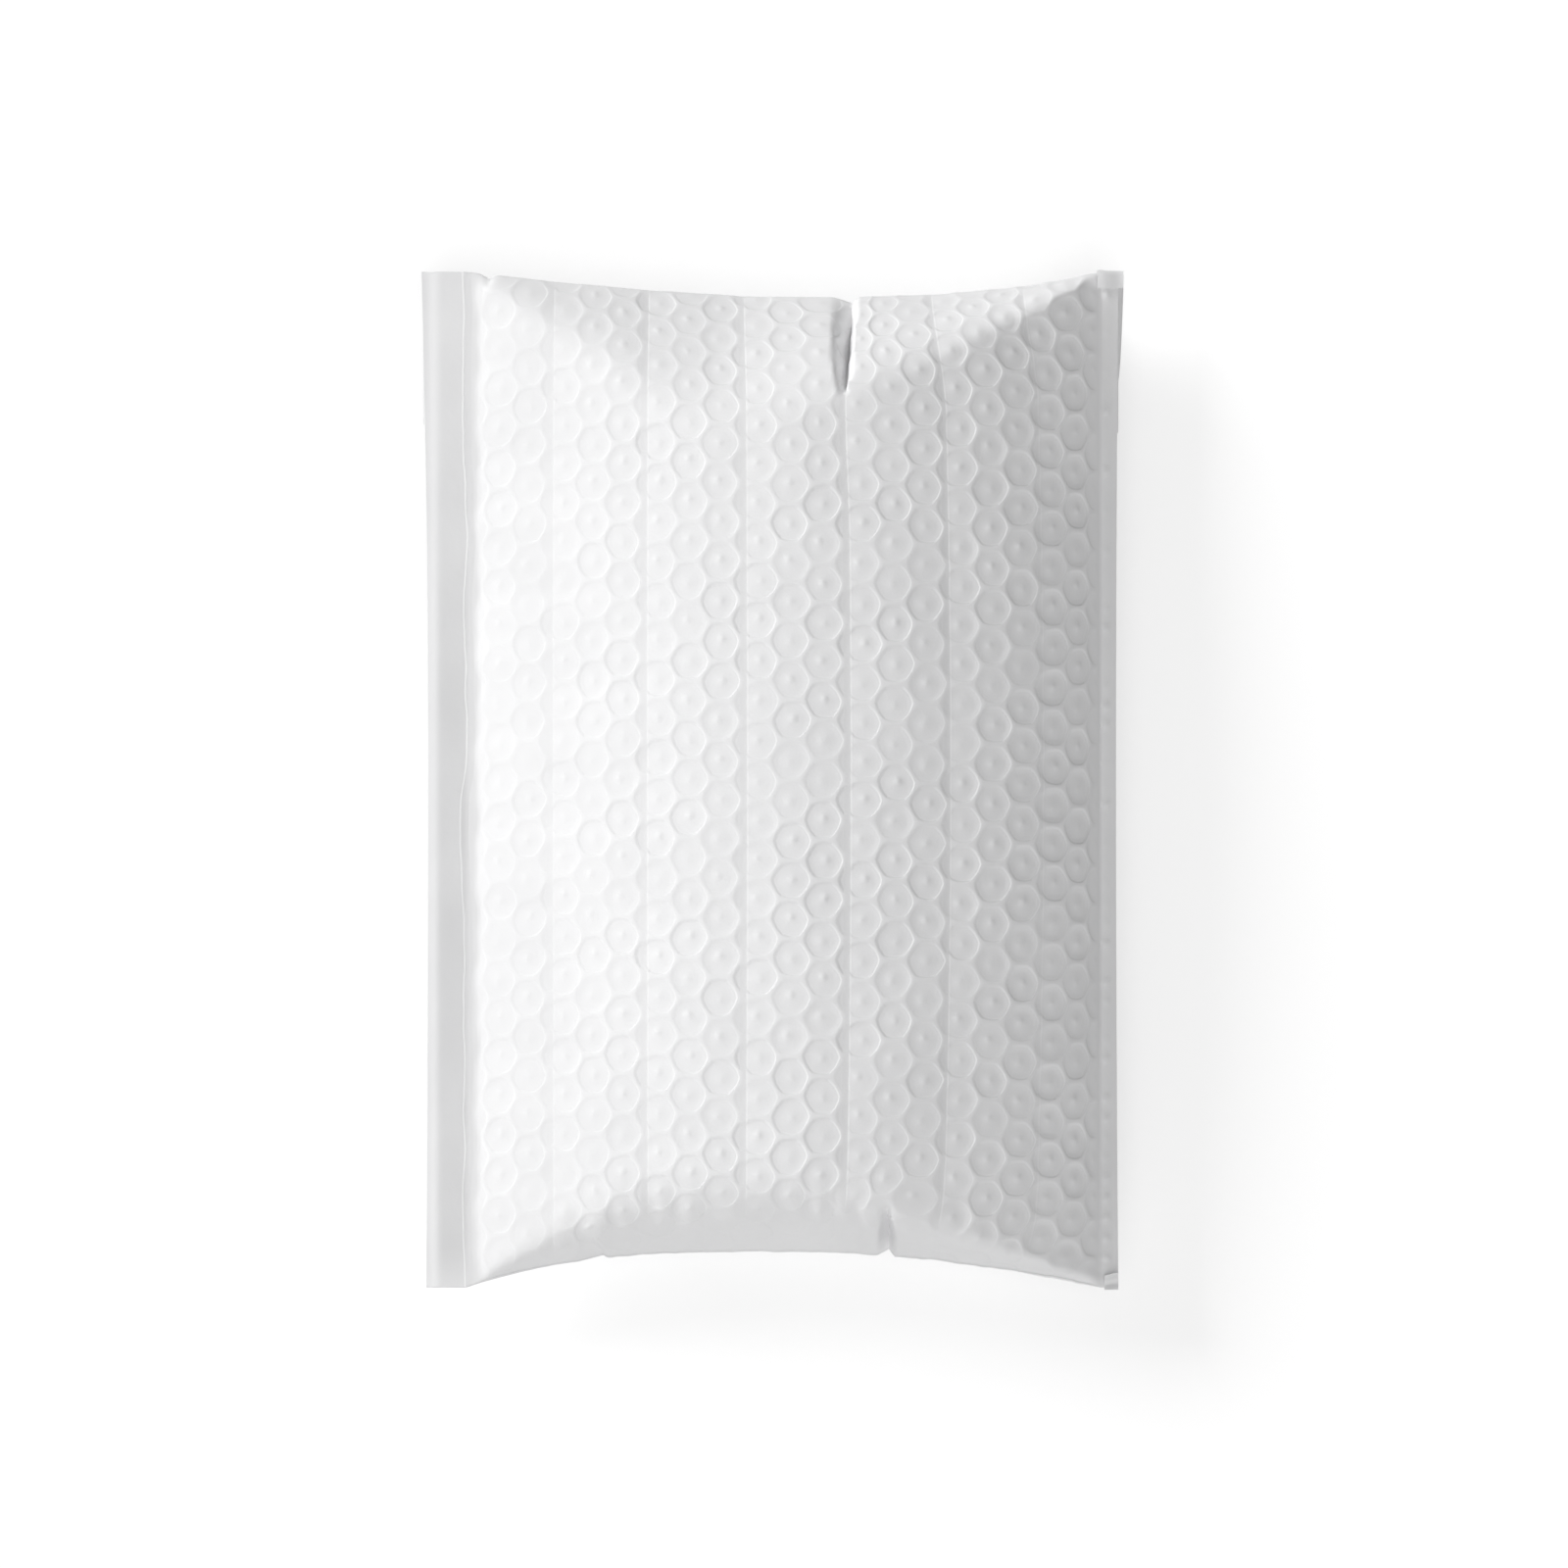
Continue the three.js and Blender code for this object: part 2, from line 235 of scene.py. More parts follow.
def distance_along(*coordinates):
    """Distance from the first point along lines of points, running down the first axis."""
    steps = np.sqrt(sum(np.diff(values, axis=0) ** 2 for values in coordinates))
    return np.concatenate([np.zeros_like(steps[:1]), np.cumsum(steps, axis=0)])


# The film's own measure, across the middle of the bag and along its crown
FINE_POINTS = 2001
fine_x = np.linspace(0, POCKET_WIDTH, FINE_POINTS)
fine_across = distance_along(fine_x, film_sheet(fine_x, 0.5)[1])
film_width = fine_across[-1]
fine_share = np.linspace(0, 1, FINE_POINTS)
fine_y, fine_front = film_sheet(np.full(FINE_POINTS, CROWN), fine_share)[:2]
fine_along = distance_along(fine_y, fine_front)

# Rows and columns of the mesh, about a millimetre apart on the front. The back has every fourth row.
# The bubble film is made in lanes parted by creases, given by their places at mid length, and a mesh
# column lies on each crease.
CREASES = np.array([25.2, 52.4, 81.2, 111.0, 139.7, 166.6])
COLUMN_STEP = 0.95
BACK_STEPS = 80
BACK_EVERY = 4
ROWS = BACK_STEPS * BACK_EVERY + 1
MIDDLE_ROW = ROWS // 2
row_share = np.interp(np.linspace(0, fine_along[-1], ROWS), fine_along, fine_share)[:, None]
crease_film = np.interp(CREASES, fine_x, fine_across)
lane_ends = np.concatenate([[0], crease_film, [film_width]])
lane_steps = np.round(np.diff(lane_ends) / COLUMN_STEP).astype(int)
lane_first = np.cumsum(lane_steps) - lane_steps
lane_step = np.diff(lane_ends) / lane_steps
lane_of_column = np.repeat(np.arange(len(lane_steps)), lane_steps)
step_in_lane = np.arange(lane_steps.sum()) - lane_first[lane_of_column]
pocket_film = lane_ends[lane_of_column] + step_in_lane * lane_step[lane_of_column]
pocket_film = np.append(pocket_film, film_width)

# Across the puffed middle the film follows the arch. At the flat folds it has less room, so its
# columns draw together there.
crown_height = film_sheet(np.full_like(row_share, CROWN), row_share)[1]
fullness = (crown_height / (FRONT_RISE + FOLD_RADIUS)) ** 2
x_puffed = np.interp(pocket_film, fine_across, fine_x)
x_flat = pocket_film * POCKET_WIDTH / film_width
pocket_x = x_flat + (x_puffed - x_flat) * fullness

# Each pucker gathers the film beside it, so that one column runs along its valley. The pull fades over
# a width to both sides, and beyond the tip over a reach counted in pucker lengths.
GATHER_WIDTH = 9
GATHER_REACH = 2.5
for pucker in PUCKERS:
    gathered = np.argmin(np.abs(x_puffed - pucker["gathers"]))
    gathered_x = pocket_x[:, [gathered]]
    gathered_ends = film_sheet(gathered_x, row_share)[3:]
    from_end, _, valley = pucker_valley(pucker, *gathered_ends)
    pull = valley - gathered_x
    pull = pull * (1 - smooth_step(pucker["length"], GATHER_REACH * pucker["length"], from_end))
    pocket_x = pocket_x + pull * np.exp(-((pocket_film - pocket_film[gathered]) / GATHER_WIDTH) ** 2)

# The flat seals bow inwards at mid length, where the puffed pocket pulls them in, so each is wider by
# a flare at its ends.
LEFT_SEAL = 11.0
LEFT_FLARE_TOP = 2.0
LEFT_FLARE_BOTTOM = 0.6
LEFT_SEAL_STEPS = 12
RIGHT_SEAL = 4.6
RIGHT_FLARE = 0.7
RIGHT_SEAL_STEPS = 7
along_bag = 2 * row_share - 1
left_seal = LEFT_SEAL + np.where(along_bag > 0, LEFT_FLARE_TOP, LEFT_FLARE_BOTTOM) * along_bag ** 2
right_seal = RIGHT_SEAL + RIGHT_FLARE * along_bag ** 2
left_x = -left_seal * np.linspace(1, 0, LEFT_SEAL_STEPS + 1)[:-1]
right_x = POCKET_WIDTH + right_seal * np.linspace(0, 1, RIGHT_SEAL_STEPS + 1)[1:]
sheet_x = np.concatenate([left_x, pocket_x, right_x], axis=1)
right_film = film_width + right_x[MIDDLE_ROW] - POCKET_WIDTH
sheet_film = np.concatenate([left_x[MIDDLE_ROW], pocket_film, right_film])
COLUMNS = sheet_x.shape[1]

sheet_y, front_height, back_depth, from_top, from_bottom = film_sheet(sheet_x, row_share)

# The seals are not quite flat: the left one waves a little and leans up except towards its ends, and
# the outer rims of both turn down.
SEAL_WAVES = [
    dict(height=0.14, length=13, shift=0.6),
    dict(height=0.1, length=5.1, shift=0),
]
LEFT_LEAN = 0.14
LEAN_WIDTH = 8.4
LEFT_RIM_DROP = 0.6
RIGHT_RIM_DROP = 1.1


def left_rim(x):
    """0 over the inner part of the left seal, rising smoothly to 1 at its outer rim."""
    return smooth_step(7.6, 11.6, -x)


def right_rim(x):
    """0 up to the start of the right seal, rising smoothly to 1 just past its outer rim."""
    return smooth_step(0.8, 6.4, x - POCKET_WIDTH)


seal_wave = summed_waves(sheet_y, SEAL_WAVES) * smooth_step(0, 9, -sheet_x)
seal_wave = seal_wave - LEFT_RIM_DROP * left_rim(sheet_x)
seal_lean = LEFT_LEAN * (1 - smooth_step(0.6, 0.92, row_share)) * smooth_step(0, 0.05, row_share)
seal_wave = seal_wave + seal_lean * np.clip(-sheet_x, 0, LEAN_WIDTH)
seal_wave = seal_wave - RIGHT_RIM_DROP * right_rim(sheet_x)

# Bubble film: dished bubbles in staggered columns, three columns to a lane, each with a small
# raised nub where the bubble's dome touches the film. CELL_LEVEL and CELL_SLANT turn an offset from
# the centre into its distance towards the level and the slanting walls of a six-sided cell.
BUBBLE_PITCH = 11.35
COLUMN_PITCH = 9.3
FIRST_COLUMN = 3.4
LANE_PITCH = 29.9
BUBBLE_RADIUS = 5.35
HEXAGON = 0.36
CELL_LEVEL = 0.96
CELL_SLANT = (0.854, 0.521)
DISH_DEPTH = 0.21
DISH_WALL = 1.6
DISH_WALL_LEAN = 0.6
NUB_HEIGHT = 0.14
NUB_SPREAD = 2.0
LANE_CROWN = 0.38
CREASE_DEPTH = 0.06
CREASE_LEFT = 3.0
CREASE_RIGHT = 1.4
CREASE_POWER = 1.5


def from_crease_left(film):
    """The lane that a place on the film lies in, and its distance in mm from the crease on its left."""
    lane = np.searchsorted(crease_film, film, side="right") - 1
    return lane, film - np.where(lane < 0, crease_film[0] - LANE_PITCH, crease_film[lane])


def film_columns(film):
    """Column count across the film, whole at bubble centres, three to a lane.

    The first centre lies FIRST_COLUMN right of the crease, and the count stands still before the next.
    """
    lane, beyond = from_crease_left(film)
    return 3 * lane + np.minimum((beyond - FIRST_COLUMN) / COLUMN_PITCH, 3 - FIRST_COLUMN / COLUMN_PITCH)


def chance(column, row, turn):
    """A fixed number from 0 to 1 for each bubble: the fraction of a large sine of its place."""
    return np.mod(np.sin(column * 12.9898 + row * 78.233 + turn * 37.719) * 43758.5453, 1)


def bubble_relief(column, row):
    """Height in mm of the bubble pattern at a column count and a row count.

    The nearest centre is taken from two interleaved grids. A bubble's outline is part way from a
    circle to the six-sided cell that its neighbours leave it. Inside it the film sinks over a wall
    that is wide at the upper left and narrow at the lower right, and a Gaussian nub rises at the
    centre. Depth and nub differ from bubble to bubble.
    """
    even = np.stack([np.mod(column + 1, 2) - 1, np.mod(row + 0.5, 1) - 0.5])
    odd = np.stack([np.mod(column, 2) - 1, np.mod(row, 1) - 0.5])
    size = np.array([COLUMN_PITCH, BUBBLE_PITCH]).reshape(2, *[1] * column.ndim)
    nearer = np.hypot(*(even * size)) <= np.hypot(*(odd * size))
    offset = np.where(nearer, even, odd)
    home_column = np.round(column - offset[0])
    home_row = np.round(2 * (row - offset[1]))
    across, along = offset * size
    circle = np.hypot(across, along)
    slanted = CELL_SLANT[0] * np.abs(across) + CELL_SLANT[1] * np.abs(along)
    cell = np.maximum(CELL_LEVEL * np.abs(along), slanted)
    reach = circle + (cell - circle) * HEXAGON
    upper_left = (along - across) / (1.414 * np.maximum(circle, 0.5))
    inside = smooth_step(0, 1, (BUBBLE_RADIUS - reach) / (DISH_WALL + DISH_WALL_LEAN * upper_left))
    depth = DISH_DEPTH * (0.65 + 0.7 * chance(home_column, home_row, 1))
    nub = NUB_HEIGHT * (0.35 + chance(home_column, home_row, 4))
    return nub * np.exp(-circle ** 2 / NUB_SPREAD) - depth * inside


def lane_relief(film):
    """Height in mm across a lane: a low parabola between creases, less a narrow V at each crease."""
    in_lane = from_crease_left(film)[1] / LANE_PITCH
    crown = LANE_CROWN * 4 * in_lane * (1 - in_lane)
    beside = film[:, None] - crease_film
    flank = np.where(beside < 0, CREASE_LEFT, CREASE_RIGHT)
    valley = np.maximum(0, 1 - np.abs(beside) / flank) ** CREASE_POWER
    return crown - CREASE_DEPTH * np.max(valley, axis=1)


film_along = distance_along(sheet_x, sheet_y, front_height)
even_row = (film_along - film_along[MIDDLE_ROW]) / BUBBLE_PITCH
even_column = film_columns(sheet_film)

# The bubble film has been pulled about a little, so its rows and columns stray by some tenths of a mm.
COLUMN_STRAY = 0.04
ROW_STRAY = 0.03
film_column = even_column + COLUMN_STRAY * np.sin(1.9 * even_row + 1.1 * even_column)
film_row = even_row + ROW_STRAY * np.sin(1.3 * even_column + 0.7 * even_row)

# The lining ends short of the seals. The film is drawn taut over the left flank, and smooth over the
# steep bottom slope, and shows less of it there. In the right part the bubbles are fuller.
SMOOTH_REACH = 14
SMOOTH_LOSS = 0.6
LEFT_SHOWS = 0.6
FULLER_RIGHT = 0.9
smooth_bottom = SMOOTH_REACH * smooth_step(25, 60, sheet_x) * (1 - smooth_step(112, 135, sheet_x))
drawn_smooth = SMOOTH_LOSS * (1 - smooth_step(-13, 17, from_bottom - smooth_bottom))
lining = smooth_step(3.5, 6.5, sheet_x) * smooth_step(0.5, 3.5, POCKET_WIDTH - sheet_x)
lining = lining * smooth_step(-5, 4, from_top) * (1 - drawn_smooth)
lining = lining * (LEFT_SHOWS + (1 - LEFT_SHOWS) * smooth_step(15, 55, sheet_x))
fuller = 1 + FULLER_RIGHT * smooth_step(135, 165, sheet_x)
front_relief = lining * (fuller * bubble_relief(film_column, film_row) + lane_relief(sheet_film))

# Above the bottom fold the slack film stands in small upright wrinkles.
SLACK_HEIGHT = 0.3
SLACK_PLACE = 9
SLACK_REACH = 9
slack_wave = np.sin(sheet_x / 1.5 + 2.2 * np.sin(sheet_x / 8.3)) * np.sin(sheet_x / 12.7 + sheet_y / 9)
slack_share = smooth_step(12, 40, sheet_x) * smooth_step(12, 60, POCKET_WIDTH - sheet_x)
slack_fade = np.exp(-((from_bottom - SLACK_PLACE) / SLACK_REACH) ** 2)
front_relief = front_relief + SLACK_HEIGHT * slack_wave * slack_share * slack_fade

# Bubbles caught in the narrow right seal leave small raised marks, one beside every other row or so.
TICK_HEIGHT = 0.5
TICK_PLACE = 1.8
TICK_WIDTH = 0.8
TICK_LENGTH = 0.9
tick_row = np.round(2 * film_row)
tick_across = (sheet_x - POCKET_WIDTH - TICK_PLACE) / TICK_WIDTH
tick_along = (film_row - tick_row / 2) * BUBBLE_PITCH / TICK_LENGTH
tick_here = TICK_HEIGHT * smooth_step(0.3, 0.8, chance(0, tick_row, 5))
front_relief = front_relief + tick_here * np.exp(-tick_across ** 2 - tick_along ** 2)


def raised(points, relief):
    """Points moved along the surface normal, the cross product of the two grid directions."""
    normal = np.cross(np.gradient(points, axis=1), np.gradient(points, axis=0))
    normal = normal / np.linalg.norm(normal, axis=2, keepdims=True)
    return points + normal * relief[..., None]


front = raised(np.stack([sheet_x, sheet_y, front_height + seal_wave], axis=2), front_relief)
back = np.stack([sheet_x, sheet_y, seal_wave - back_depth], axis=2)


def fold_rows(edge, outwards, turns):
    """Rows of a folded edge: a round from the front sheet's edge row over to the back sheet's."""
    x = edge[:, 0]
    radius = fold_radius(x)
    start = fold_start(x)
    lift = edge[:, 2] - radius * np.sin(start)
    angle = start * turns[:, None]
    y = edge[:, 1] + outwards * radius * (np.cos(angle) - np.cos(start))
    return np.stack([np.broadcast_to(x, y.shape), y, lift + radius * np.sin(angle)], axis=2)


# How far round a fold its rows lie, between the front sheet's edge at 1 and the back sheet's at -1
FOLD_TURNS = np.linspace(1, -1, 9)[1:-1]
top_fold = fold_rows(front[-1], 1, FOLD_TURNS)
bottom_fold = fold_rows(front[0], -1, FOLD_TURNS)[::-1]
back_rows = back[::-BACK_EVERY]

# The rows run up the front, over the top, down the back and round the bottom fold.
loop = np.concatenate([front, top_fold, back_rows, bottom_fold])
LOOP_ROWS = len(loop)
BACK_START = ROWS + len(FOLD_TURNS)
BACK_END = BACK_START + len(back_rows)
number = np.arange(LOOP_ROWS * COLUMNS).reshape(LOOP_ROWS, COLUMNS)
after = np.roll(number, -1, axis=0)
quads = np.stack([number[:, :-1], number[:, 1:], after[:, 1:], after[:, :-1]], axis=2).reshape(-1, 4)


def side_faces(edge):
    """Faces that close one long side, from the numbers of its loop of points.

    Every step of back rows faces BACK_EVERY steps of front rows, and each fold is closed by one face.
    """
    front_edge = edge[:ROWS]
    back_edge = edge[BACK_START:BACK_END][::-1]
    steps = np.arange(len(back_rows) - 1)[:, None]
    strips = front_edge[steps * BACK_EVERY + np.arange(BACK_EVERY + 1)]
    strips = np.concatenate([strips, back_edge[steps + 1], back_edge[steps]], axis=1)
    top = edge[ROWS - 1:BACK_START + 1]
    bottom = np.append(edge[BACK_END - 1:], edge[0])
    return strips.tolist() + [top.tolist(), bottom.tolist()]


left_faces = side_faces(number[:, 0])
right_faces = [face[::-1] for face in side_faces(number[:, -1])]

POCKET_SHARP_ANGLE = 62
pocket_mesh = bpy.data.meshes.new("film_pocket")
pocket_points = (loop.reshape(-1, 3) - FRAME_ORIGIN) / 1000
pocket_mesh.from_pydata(pocket_points, [], quads.tolist() + left_faces + right_faces)
pocket_mesh.polygons.foreach_set("use_smooth", np.ones(len(pocket_mesh.polygons), dtype=bool))
pocket_mesh.set_sharp_from_angle(angle=np.radians(POCKET_SHARP_ANGLE))

# The film's own place is kept on the mesh for the material: column and row counts as a UV map, how
# far the lining shows, and a lane count that is whole at each crease.
loop_along = distance_along(loop[..., 0], loop[..., 1], loop[..., 2])
loop_row = (loop_along - film_along[MIDDLE_ROW]) / BUBBLE_PITCH
loop_row[:ROWS] = film_row
loop_column = np.broadcast_to(even_column, loop_row.shape).copy()
loop_column[:ROWS] = film_column
film_map = np.stack([loop_column, loop_row], axis=2).reshape(-1, 2)
corner_points = np.empty(len(pocket_mesh.loops), dtype=np.int32)
pocket_mesh.loops.foreach_get("vertex_index", corner_points)
film_uv = pocket_mesh.uv_layers.new(name="film")
film_uv.uv.foreach_set("vector", film_map[corner_points].astype(np.float32).ravel())

loop_lining = np.zeros((LOOP_ROWS, COLUMNS))
loop_lining[:ROWS] = lining
loop_lining[BACK_START:BACK_END] = lining[::-BACK_EVERY]
lining_mask = pocket_mesh.attributes.new("lining", "FLOAT", "POINT")
lining_mask.data.foreach_set("value", loop_lining.astype(np.float32).ravel())

lane_before = crease_film[0] - LANE_PITCH
lane_after = crease_film[-1] + LANE_PITCH
lane_places = np.concatenate([[lane_before], crease_film, [lane_after]])
lane_count = np.interp(sheet_film, lane_places, np.arange(len(lane_places)))
lane_mark = pocket_mesh.attributes.new("lane_count", "FLOAT", "POINT")
lane_mark.data.foreach_set("value", np.tile(lane_count, LOOP_ROWS).astype(np.float32))


def add(tree, kind, sources=(), output=0, **settings):
    """An output of a new node of a kind with its settings. Its inputs in order take links or numbers."""
    node = tree.nodes.new(kind)
    for name, value in settings.items():
        setattr(node, name, value)
    for socket, source in zip(node.inputs, sources):
        if isinstance(source, bpy.types.NodeSocket):
            tree.links.new(source, socket)
        else:
            socket.default_value = source
    return node.outputs[output]


def math(tree, operation, *sources):
    """One step of arithmetic on values."""
    return add(tree, "ShaderNodeMath", sources, operation=operation)


def vector_math(tree, operation, *sources, output="Vector"):
    """One step of arithmetic on vectors."""
    return add(tree, "ShaderNodeVectorMath", sources, output, operation=operation)


def blend_range(tree, value, low, high, start, end):
    """A value carried from start to end as it goes from low to high, smoothly."""
    ends = [value, low, high, start, end]
    return add(tree, "ShaderNodeMapRange", ends, interpolation_type="SMOOTHSTEP")


# Fine unevenness that all the white film shares: wrinkles some millimetres across, a grain, and a
# cloudy tint. Scales are for Object coordinates in metres, heights in millimetres.
WRINKLE_SCALE = 170
GRAIN_SCALE = 1600
CLOUD_SCALE = 35
GRAIN_HEIGHT = 0.012
SMOOTHEST = 0.52
ROUGHEST = 0.62
DARKER_WHITE = (0.85, 0.85, 0.856, 1)
LIGHTER_WHITE = (0.875, 0.875, 0.88, 1)

film_texture = bpy.data.node_groups.new("film_texture", "ShaderNodeTree")
film_texture.interface.new_socket("Place", in_out="INPUT", socket_type="NodeSocketVector")
film_texture.interface.new_socket("Wrinkle", in_out="INPUT", socket_type="NodeSocketFloat")
film_texture.interface.new_socket("Height", in_out="OUTPUT", socket_type="NodeSocketFloat")
film_texture.interface.new_socket("Roughness", in_out="OUTPUT", socket_type="NodeSocketFloat")
film_texture.interface.new_socket("Colour", in_out="OUTPUT", socket_type="NodeSocketColor")
group_in = film_texture.nodes.new("NodeGroupInput")
group_out = film_texture.nodes.new("NodeGroupOutput")
place = group_in.outputs["Place"]
wrinkle = add(film_texture, "ShaderNodeTexNoise", [place, 0, WRINKLE_SCALE, 3, 0.5])
grain = add(film_texture, "ShaderNodeTexNoise", [place, 0, GRAIN_SCALE, 2, 0.5])
cloud = add(film_texture, "ShaderNodeTexNoise", [place, 0, CLOUD_SCALE, 2, 0.5])
wrinkle_height = math(film_texture, "MULTIPLY", wrinkle, group_in.outputs["Wrinkle"])
film_height = math(film_texture, "MULTIPLY_ADD", grain, GRAIN_HEIGHT, wrinkle_height)
film_texture.links.new(film_height, group_out.inputs["Height"])
film_roughness = blend_range(film_texture, grain, 0.3, 0.7, SMOOTHEST, ROUGHEST)
film_texture.links.new(film_roughness, group_out.inputs["Roughness"])
film_tint = film_texture.nodes.new("ShaderNodeValToRGB")
film_tint.color_ramp.elements[0].position = 0.35
film_tint.color_ramp.elements[0].color = DARKER_WHITE
film_tint.color_ramp.elements[1].position = 0.65
film_tint.color_ramp.elements[1].color = LIGHTER_WHITE
film_texture.links.new(cloud, film_tint.inputs[0])
film_texture.links.new(film_tint.outputs[0], group_out.inputs["Colour"])

FILM_IOR = 1.5
FILM_SPECULAR = 0.25


def white_film(name, wrinkle):
    """A satin white film: its node tree, Object coordinates, shared texture and shader."""
    material = bpy.data.materials.new(name)
    material.use_nodes = True
    tree = material.node_tree
    place = tree.nodes.new("ShaderNodeTexCoord").outputs["Object"]
    texture = tree.nodes.new("ShaderNodeGroup")
    texture.node_tree = film_texture
    texture.inputs["Wrinkle"].default_value = wrinkle
    tree.links.new(place, texture.inputs["Place"])
    shader = tree.nodes["Principled BSDF"]
    tree.links.new(texture.outputs["Colour"], shader.inputs["Base Color"])
    tree.links.new(texture.outputs["Roughness"], shader.inputs["Roughness"])
    shader.inputs["IOR"].default_value = FILM_IOR
    shader.inputs["Specular IOR Level"].default_value = FILM_SPECULAR
    return material, tree, place, texture.outputs["Height"], shader


def put_bump(tree, height, shader):
    """A height in millimetres, put on the shader as a bump."""
    bump = tree.nodes.new("ShaderNodeBump")
    bump.inputs["Distance"].default_value = 0.001
    tree.links.new(height, bump.inputs["Height"])
    tree.links.new(bump.outputs["Normal"], shader.inputs["Normal"])


# Crisp rims and nubs on top of the mesh's own relief
SHALLOWEST_RIM = 0.04
DEEPEST_RIM = 0.16
RIM_WIDTH = 0.9
RIM_LEAN = 0.45
LOWEST_NUB = 0.05
HIGHEST_NUB = 0.2
CRISP_NUB_SPREAD = 1.2
NUB_STRAY = (0.7, 0.8)


def bubble_rim(tree, film, shift):
    """Height in mm of the crisp rims and nubs of every other column of bubbles, which the shift picks.

    The place on the film is wrapped to the nearest centre. Inside the bubble's outline the film sinks
    over a wall that is narrow at the lower right and wide at the upper left, and a small Gaussian nub
    stands near the centre. Chance gives each bubble its depth, and its nub's height and place.
    """
    moved = vector_math(tree, "ADD", film, shift)
    offset = vector_math(tree, "WRAP", moved, (1, 0.5, 1), (-1, -0.5, -1))
    centre = vector_math(tree, "SUBTRACT", moved, offset)
    home = vector_math(tree, "FLOOR", vector_math(tree, "ADD", centre, (0.5, 0.5, 0)))
    amount = add(tree, "ShaderNodeTexWhiteNoise", [home], "Value", noise_dimensions="2D")
    aside = add(tree, "ShaderNodeTexWhiteNoise", [home], "Color", noise_dimensions="2D")
    in_mm = vector_math(tree, "MULTIPLY", offset, (COLUMN_PITCH, BUBBLE_PITCH, 0))
    size = vector_math(tree, "ABSOLUTE", in_mm)
    circle = vector_math(tree, "LENGTH", in_mm, output="Value")
    slanted = vector_math(tree, "DOT_PRODUCT", size, (*CELL_SLANT, 0), output="Value")
    level = vector_math(tree, "DOT_PRODUCT", size, (0, CELL_LEVEL, 0), output="Value")
    cell = math(tree, "MULTIPLY", math(tree, "MAXIMUM", slanted, level), HEXAGON)
    reach = math(tree, "MULTIPLY_ADD", circle, 1 - HEXAGON, cell)
    lower_right = vector_math(tree, "DOT_PRODUCT", in_mm, (0.8, -0.6, 0), output="Value")
    lean = math(tree, "DIVIDE", lower_right, math(tree, "MAXIMUM", circle, 0.5))
    floor_edge = math(tree, "MULTIPLY_ADD", lean, RIM_LEAN, BUBBLE_RADIUS - RIM_WIDTH)
    inside = blend_range(tree, reach, floor_edge, BUBBLE_RADIUS, 1, 0)
    rim_depth = blend_range(tree, amount, 0, 1, -SHALLOWEST_RIM, -DEEPEST_RIM)
    sunk = math(tree, "MULTIPLY", inside, rim_depth)
    stray_x, stray_y = NUB_STRAY
    nub_range = (2 * stray_x, 2 * stray_y, 0)
    nub_aside = vector_math(tree, "MULTIPLY_ADD", aside, nub_range, (-stray_x, -stray_y, 0))
    from_nub = vector_math(tree, "SUBTRACT", in_mm, nub_aside)
    squared = vector_math(tree, "DOT_PRODUCT", from_nub, from_nub, output="Value")
    nub = math(tree, "EXPONENT", math(tree, "MULTIPLY", squared, -1 / CRISP_NUB_SPREAD))
    nub_height = blend_range(tree, aside, 0, 1, LOWEST_NUB, HIGHEST_NUB)
    return math(tree, "MULTIPLY_ADD", nub, nub_height, sunk)


POCKET_WRINKLE = 0.1
satin_film, tree, place, height, shader = white_film("white_film_satin", POCKET_WRINKLE)
film = add(tree, "ShaderNodeUVMap", uv_map="film")
rims = math(tree, "ADD", bubble_rim(tree, film, (0, 0, 0)), bubble_rim(tree, film, (1, 0.5, 0)))

# Each crease is a fine fold: the film sinks to it slowly from the left and climbs steeply again.
CREASE_LINE = 0.07
CREASE_SLOW = 1.9
CREASE_STEEP = 0.5
lanes_across = add(tree, "ShaderNodeAttribute", (), "Fac", attribute_name="lane_count")
from_crease = math(tree, "WRAP", lanes_across, 0.5, -0.5)
slow_left = math(tree, "MULTIPLY_ADD", from_crease, LANE_PITCH / CREASE_SLOW, 1)
steep_right = math(tree, "MULTIPLY_ADD", from_crease, -LANE_PITCH / CREASE_STEEP, 1)
crease_line = math(tree, "MAXIMUM", math(tree, "MINIMUM", slow_left, steep_right), 0)
pattern = math(tree, "MULTIPLY_ADD", crease_line, -CREASE_LINE, rims)
shows = add(tree, "ShaderNodeAttribute", (), "Fac", attribute_name="lining")
height = math(tree, "MULTIPLY_ADD", pattern, shows, height)

# A thin raised welt, steep on its outer side, wanders along the inner border of the left seal. Its
# places and widths are metres in the shared frame, as Object coordinates are.
WELT_HEIGHT = 0.14
WELT_PLACE = -0.0929
WELT_WANDER = 0.006
WANDER_SCALE = 22
WELT_STEEP = 0.0004
WELT_SLOW = 0.0022
across = add(tree, "ShaderNodeSeparateXYZ", [place], "X")
upwards = add(tree, "ShaderNodeSeparateXYZ", [place], "Y")
wander_inputs = [(0, 0, 0), upwards, WANDER_SCALE, 2, 0.5]
wander = add(tree, "ShaderNodeTexNoise", wander_inputs, noise_dimensions="1D")
welt_place = math(tree, "MULTIPLY_ADD", wander, WELT_WANDER, WELT_PLACE)
beside = math(tree, "SUBTRACT", across, welt_place)
steep_left = math(tree, "MULTIPLY_ADD", beside, 1 / WELT_STEEP, 1)
slow_right = math(tree, "MULTIPLY_ADD", beside, -1 / WELT_SLOW, 1)
welt = math(tree, "MAXIMUM", math(tree, "MINIMUM", steep_left, slow_right), 0)
put_bump(tree, math(tree, "MULTIPLY_ADD", welt, WELT_HEIGHT, height), shader)

